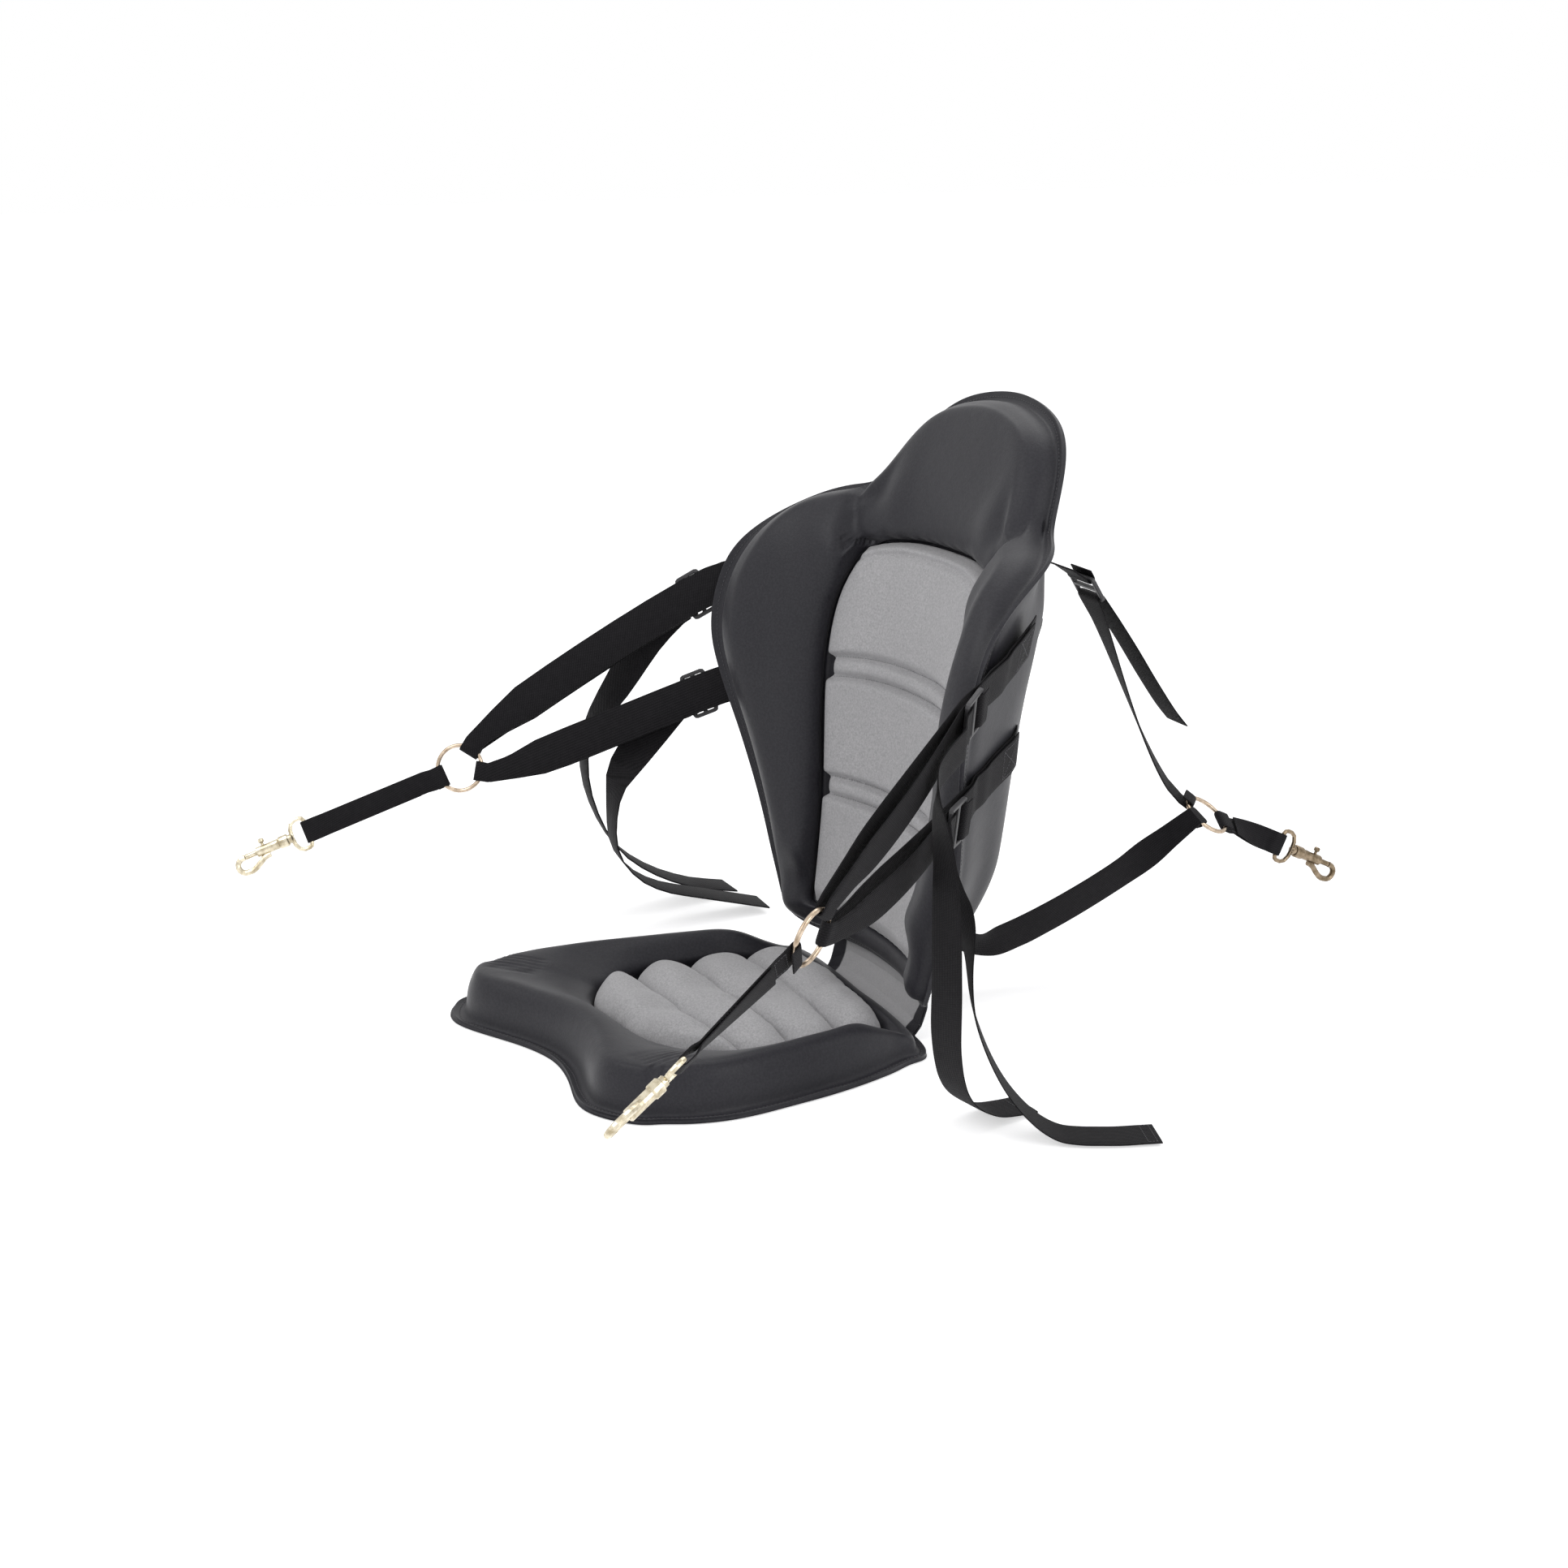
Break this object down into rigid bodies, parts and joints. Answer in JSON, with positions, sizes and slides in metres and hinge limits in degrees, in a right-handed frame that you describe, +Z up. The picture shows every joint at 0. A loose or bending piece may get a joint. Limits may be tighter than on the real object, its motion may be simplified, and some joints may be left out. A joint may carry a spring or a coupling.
{
  "type": "kayak seat",
  "caption": "Clip-in kayak seat: moulded foam base and tall contoured backrest with quilted panels, adjustable webbing harness and swivelling bolt snap hooks",
  "frame": {"origin": "the underside of the seat base, in the middle of its width, 14 mm in front of its rear edge", "axes": "+Z up, the sitter faces -Y, the sitter's left is +X"},
  "size_m": [0.9187, 1.0817, 0.5948],
  "materials": {
    "charcoal_foam": "smooth matt skin laminated over closed-cell foam",
    "grey_quilt": "fine knitted cloth, quilted",
    "black_webbing": "woven webbing",
    "black_plastic": "satin moulded",
    "brass": "polished"
  },
  "bodies": {
    "seat": {"back_foam": "charcoal_foam", "back_liner": "grey_quilt", "base_foam": "charcoal_foam", "base_liner": "grey_quilt", "hinge_cloth": "black_webbing", "hook_strap_L": "black_webbing", "hook_strap_R": "black_webbing", "hook_strap_rear": "black_webbing", "lower_L_anchor": "black_webbing", "lower_L_buckle": "black_plastic", "lower_L_strap": "black_webbing", "lower_R_anchor": "black_webbing", "lower_R_buckle": "black_plastic", "lower_R_strap": "black_webbing", "pack_buckle_lower_L": "black_plastic", "pack_buckle_lower_R": "black_plastic", "pack_buckle_upper_L": "black_plastic", "pack_buckle_upper_R": "black_plastic", "rear_anchor": "black_webbing", "rear_band": "black_webbing", "rear_buckle": "black_plastic", "rear_strap": "black_webbing", "ring_L": "brass", "ring_R": "brass", "ring_rear": "brass", "swivel_eye_L": "brass", "swivel_eye_R": "brass", "swivel_eye_rear": "brass", "upper_L_anchor": "black_webbing", "upper_L_buckle": "black_plastic", "upper_L_strap": "black_webbing", "upper_R_anchor": "black_webbing", "upper_R_buckle": "black_plastic", "upper_R_strap": "black_webbing"},
    "hook_L": {"snap_hook_L": "brass"},
    "bolt_piece_L": {"bolt_L": "brass"},
    "hook_R": {"snap_hook_R": "brass"},
    "bolt_piece_R": {"bolt_R": "brass"},
    "hook_rear": {"snap_hook_rear": "brass"},
    "bolt_piece_rear": {"bolt_rear": "brass"}
  },
  "joints": [
    {"name": "swivel_L", "type": "hinge", "parent": "seat", "child": "hook_L", "pos_m": [0.43685, -0.3752, 0.16106], "axis": [0.298, -0.846, -0.4422], "continuous": true},
    {"name": "bolt_slide_L", "type": "slide", "parent": "hook_L", "child": "bolt_piece_L", "axis": [-0.298, 0.846, 0.4422], "range_m": [0, 0.0065], "stiffness_N_per_m": 300, "springref_m": -0.004},
    {"name": "swivel_R", "type": "hinge", "parent": "seat", "child": "hook_R", "pos_m": [-0.43392, -0.46061, 0.10569], "axis": [-0.2547, -0.896, -0.3638], "continuous": true},
    {"name": "bolt_slide_R", "type": "slide", "parent": "hook_R", "child": "bolt_piece_R", "axis": [0.2547, 0.896, 0.3638], "range_m": [0, 0.0065], "stiffness_N_per_m": 300, "springref_m": -0.004},
    {"name": "swivel_rear", "type": "hinge", "parent": "seat", "child": "hook_rear", "pos_m": [0, 0.51169, 0.09368], "axis": [0, 0.9023, -0.4311], "continuous": true},
    {"name": "bolt_slide_rear", "type": "slide", "parent": "hook_rear", "child": "bolt_piece_rear", "axis": [0, -0.9023, 0.4311], "range_m": [0, 0.0065], "stiffness_N_per_m": 300, "springref_m": -0.004}
  ]
}
